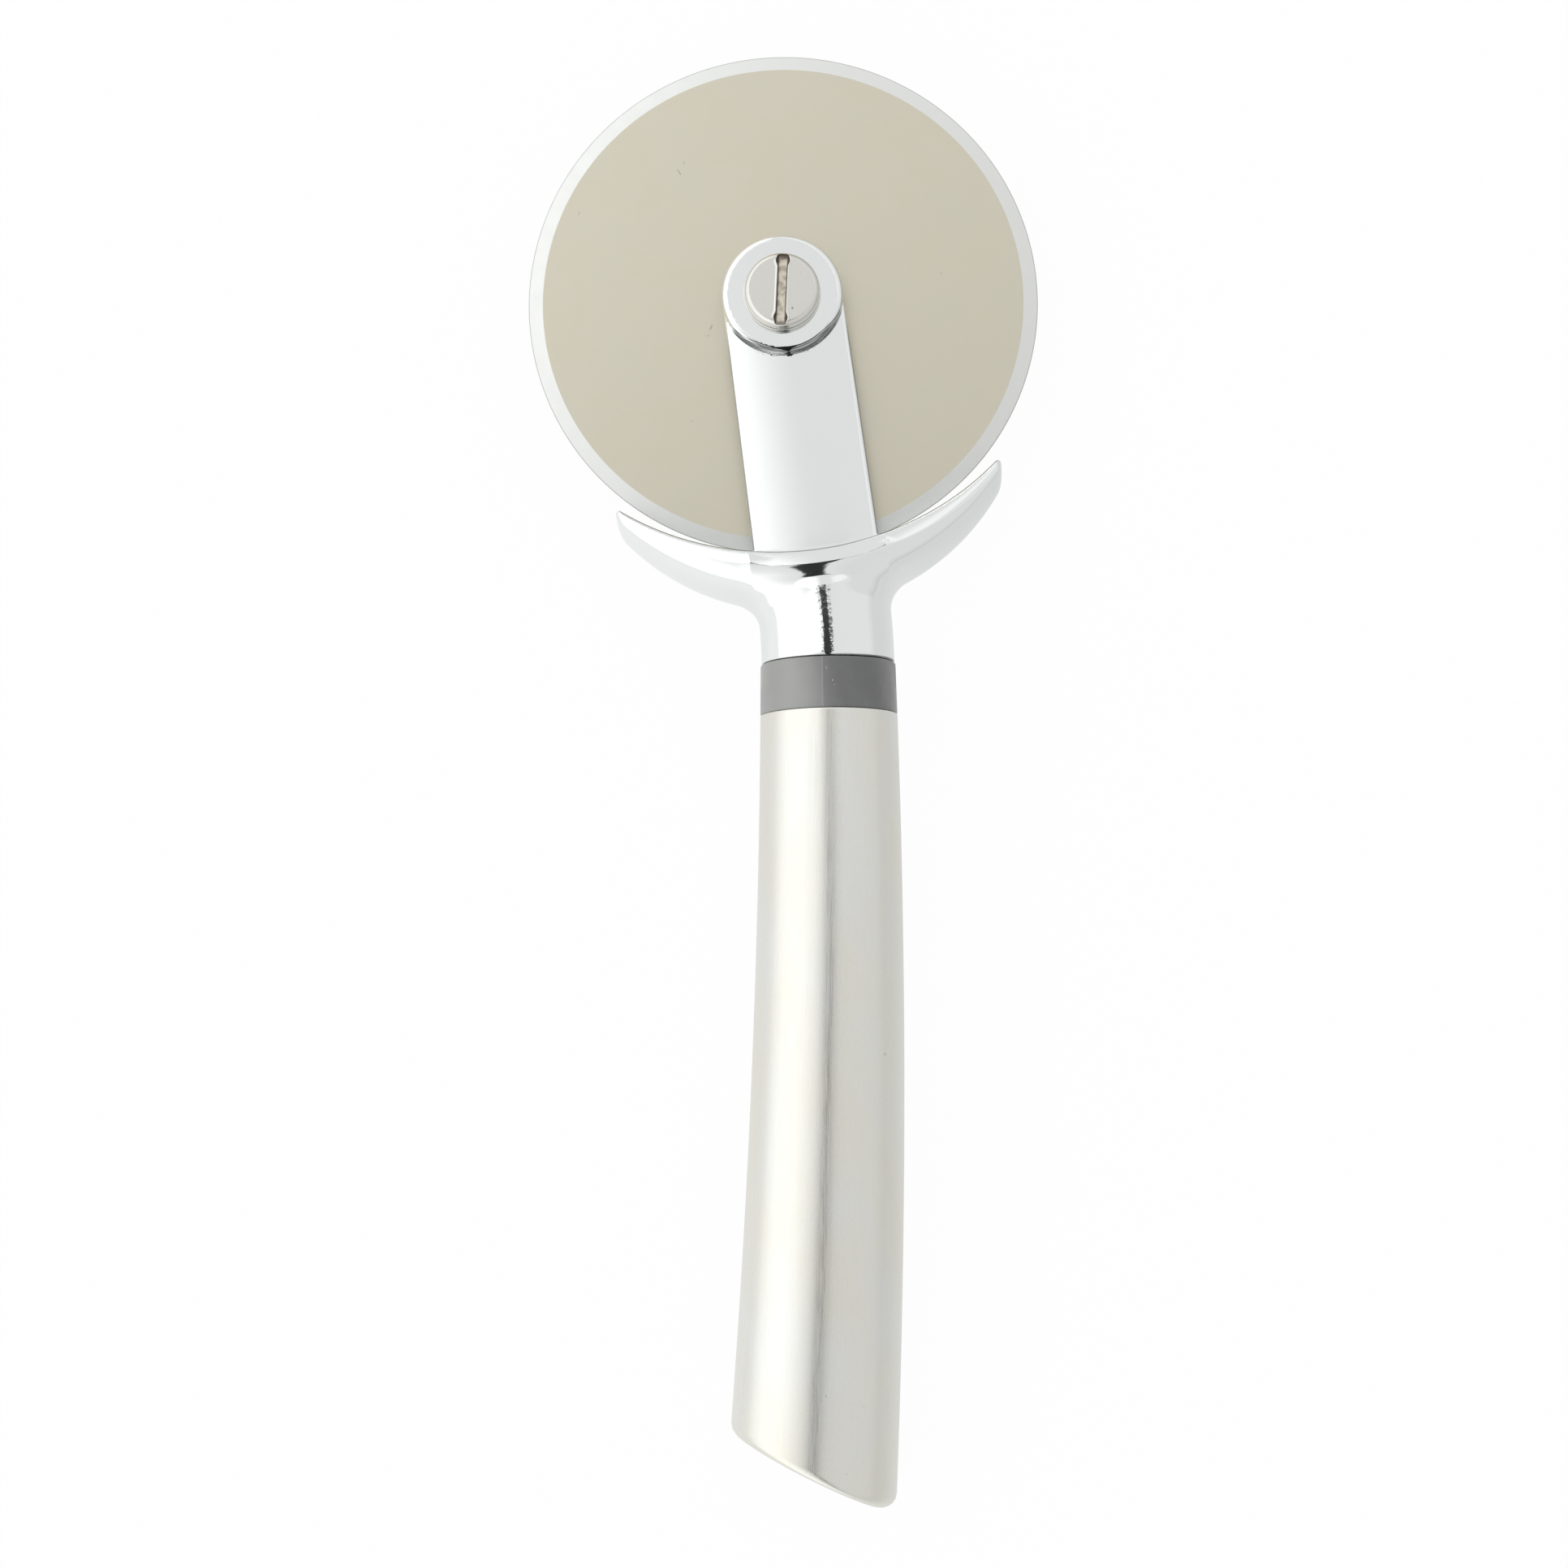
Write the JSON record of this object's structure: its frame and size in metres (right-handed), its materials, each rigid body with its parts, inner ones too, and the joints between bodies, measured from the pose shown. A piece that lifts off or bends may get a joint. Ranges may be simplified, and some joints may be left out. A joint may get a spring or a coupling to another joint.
{
  "type": "wheel pizza cutter",
  "caption": "Hand-held pizza cutter: a round blade spins in a chromed fork with a crescent finger guard, on a curved hollow steel handle with a slanted end.",
  "frame": {"origin": "centre of the flat face of the back axle head, on the axle's line, where the cutter can lie on a table", "axes": "+X to the outer side of the handle's bend, +Y from the handle to the blade, +Z along the axle from the back head to the slotted front head"},
  "size_m": [0.085, 0.2397, 0.0224],
  "materials": {
    "blade_steel": "smooth satin stainless steel with a bright ground bevel",
    "nylon": "natural white nylon",
    "fork_chrome": "polished chrome plate on a zinc casting",
    "screw_steel": "turned nickel plated steel",
    "grey_plastic": "satin moulded grey plastic",
    "zinc_steel": "zinc plated steel",
    "handle_steel": "brushed stainless steel, brushed along the handle"
  },
  "bodies": {
    "frame": {"fork_casting": "fork_chrome", "axle_barrel": "screw_steel", "axle_screw": "screw_steel", "spacer_washer_front": "nylon", "spacer_washer_back": "nylon", "head_washer_front": "screw_steel", "head_washer_back": "screw_steel", "collar_ring": "grey_plastic", "core_plug": "nylon", "tie_washer": "zinc_steel", "tie_screw": "zinc_steel", "handle_shell": "handle_steel", "end_cap": "handle_steel"},
    "wheel": {"cutting_wheel": "blade_steel", "wheel_bush": "nylon"}
  },
  "joints": [
    {"name": "wheel_spin", "type": "hinge", "parent": "frame", "child": "wheel", "pos_m": [0, 0, 0.0089], "axis": [0, 0, 1], "continuous": true}
  ]
}
